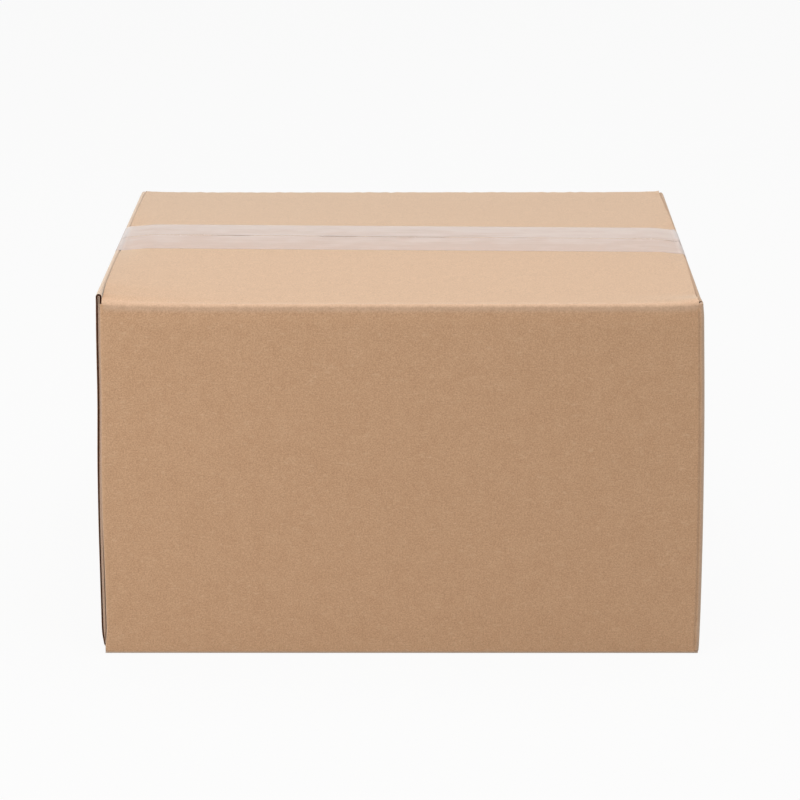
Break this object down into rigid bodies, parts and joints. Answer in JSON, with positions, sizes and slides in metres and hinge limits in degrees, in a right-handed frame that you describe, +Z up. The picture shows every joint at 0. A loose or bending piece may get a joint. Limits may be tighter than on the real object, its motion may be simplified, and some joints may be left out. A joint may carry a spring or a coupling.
{
  "type": "closed cardboard box",
  "caption": "Closed rectangular shipping carton folded from brown corrugated board, its flap seams held shut by clear packing tape.",
  "frame": {"origin": "middle of the base, on the surface that the box stands on", "axes": "+X to the right along the front panel, +Y from the front panel to the back panel, +Z up"},
  "size_m": [0.2532, 0.205, 0.1588],
  "materials": {
    "kraft_board": "uncoated brown kraft liner, matte and finely flecked",
    "packing_tape": "thin clear film tape, milky where it is not fully wetted onto the board"
  },
  "bodies": {
    "root": {"carton": "kraft_board", "top_tape": "packing_tape", "bottom_tape": "packing_tape"}
  },
  "joints": []
}
